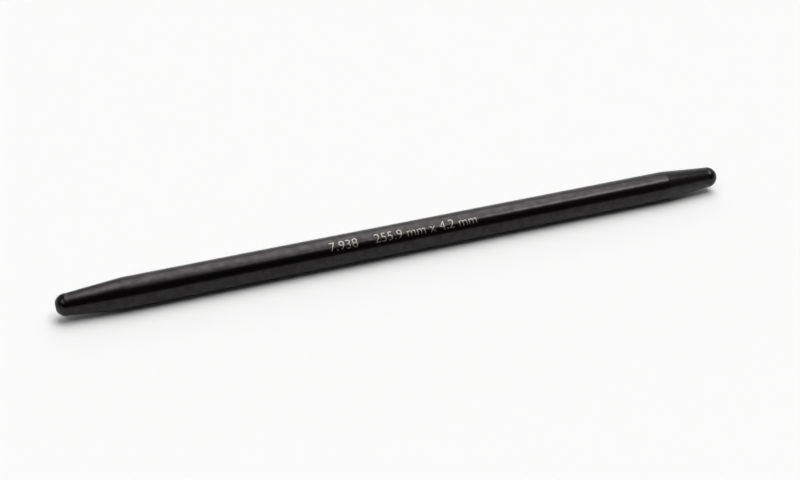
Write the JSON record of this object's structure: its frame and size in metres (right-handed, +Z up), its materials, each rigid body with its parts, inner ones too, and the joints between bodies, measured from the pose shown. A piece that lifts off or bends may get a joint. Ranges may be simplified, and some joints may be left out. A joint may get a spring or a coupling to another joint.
{
  "type": "engine pushrod",
  "caption": "Straight steel rod with tapered ends, ball tips and a drilled oil passage, which carries a valve lifter's push to the rocker arm.",
  "frame": {"origin": "on the rod's axis, half-way along its length", "axes": "+X along the rod's axis; +Z up as the rod lies level"},
  "size_m": [0.256, 0.011, 0.0112],
  "materials": {
    "black_steel": "ground steel with a thin black oxide finish, satin"
  },
  "bodies": {
    "root": {"pushrod": "black_steel"}
  },
  "joints": []
}
